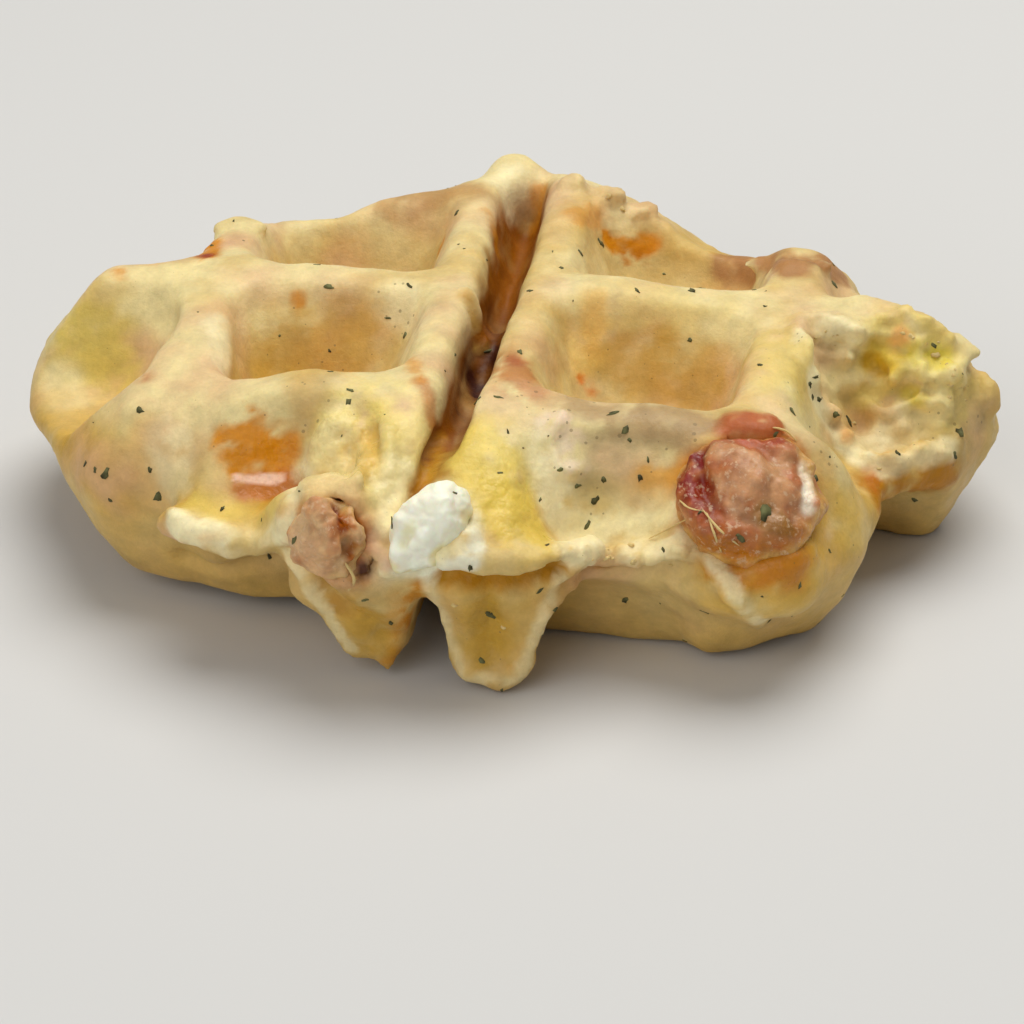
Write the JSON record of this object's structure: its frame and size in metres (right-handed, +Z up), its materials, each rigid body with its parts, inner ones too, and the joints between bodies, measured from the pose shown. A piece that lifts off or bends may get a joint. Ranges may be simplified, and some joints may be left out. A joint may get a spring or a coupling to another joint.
{
  "type": "basil tomato waffle",
  "caption": "Thick savoury grid waffle with deep pockets, a centre groove, ragged edges, and tomato and cheese baked in.",
  "frame": {"origin": "under the middle of the waffle, on the plane it rests on", "axes": "+X across the groove towards the half with the large tomato piece (longest extent), +Y along the groove away from the front noses, +Z up (shortest extent)"},
  "size_m": [0.1044, 0.0858, 0.0273],
  "materials": {
    "dough": "baked cream to golden crust, uneven and slightly moist",
    "tomato": "moist baked tomato, wrinkled",
    "cheese": "soft white cheese, slightly moist"
  },
  "bodies": {
    "root": {"waffle": "dough", "tomato_large": "tomato", "tomato_small": "tomato", "cheese": "cheese"}
  },
  "joints": []
}
